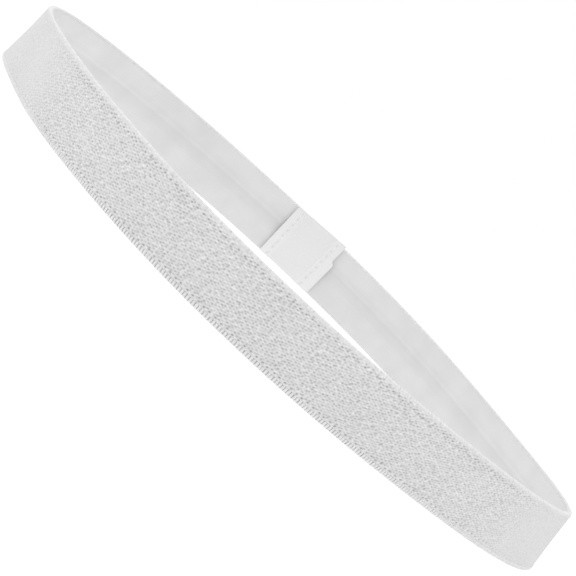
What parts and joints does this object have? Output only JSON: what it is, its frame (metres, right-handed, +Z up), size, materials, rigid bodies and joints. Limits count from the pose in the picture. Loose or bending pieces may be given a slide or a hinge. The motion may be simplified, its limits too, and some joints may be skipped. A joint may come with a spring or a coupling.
{
  "type": "sweatband",
  "caption": "Narrow ring of white woven elastic worn round the head, standing on its lower selvage, its joint covered inside by a crossways patch of satin tape.",
  "frame": {"origin": "centre of the band's box, on the surface that its lower selvage stands on", "axes": "+Z up along the ring's axis, +Y towards the joint patch at the back, +X towards one end of its longer diameter, on the right when the patch is at the back"},
  "size_m": [0.158, 0.151, 0.0158],
  "materials": {
    "woven_elastic": "white woven elastic, matt, with a fine pebbled outer face and a smooth inner face",
    "satin_tape": "white satin tape, smooth with a soft sheen, blank"
  },
  "bodies": {
    "root": {"elastic_band": "woven_elastic", "joint_patch": "satin_tape"}
  },
  "joints": []
}
